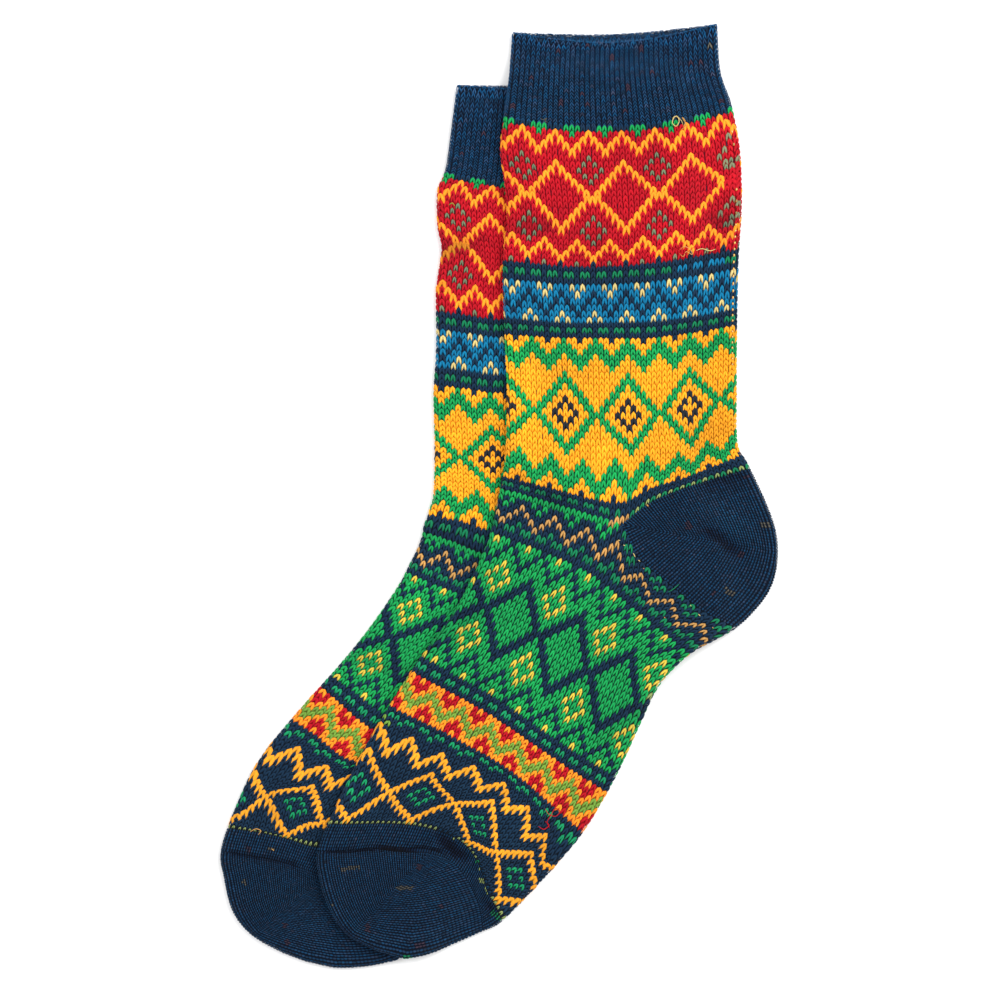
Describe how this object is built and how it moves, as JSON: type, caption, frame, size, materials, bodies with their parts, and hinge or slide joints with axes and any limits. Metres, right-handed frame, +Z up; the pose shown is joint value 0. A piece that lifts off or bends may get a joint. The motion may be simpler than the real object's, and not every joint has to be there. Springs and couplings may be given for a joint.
{
  "type": "pair of socks",
  "caption": "Pair of patterned knitted crew socks laid flat, one lying partly over the other, each an open cuff, leg, turned heel, foot and closed toe.",
  "frame": {"origin": "middle of the pair's footprint, on the surface that the socks lie on", "axes": "+Z up from the surface, +Y towards the open cuffs, +X towards the heels"},
  "size_m": [0.201, 0.3398, 0.0092],
  "materials": {
    "lower_sock": "soft matt knit in navy, green, yellow, red and blue yarn",
    "upper_sock": "soft matt knit in navy, green, yellow, red and blue yarn"
  },
  "bodies": {
    "root": {"lower_sock": "lower_sock", "upper_sock": "upper_sock"}
  },
  "joints": []
}
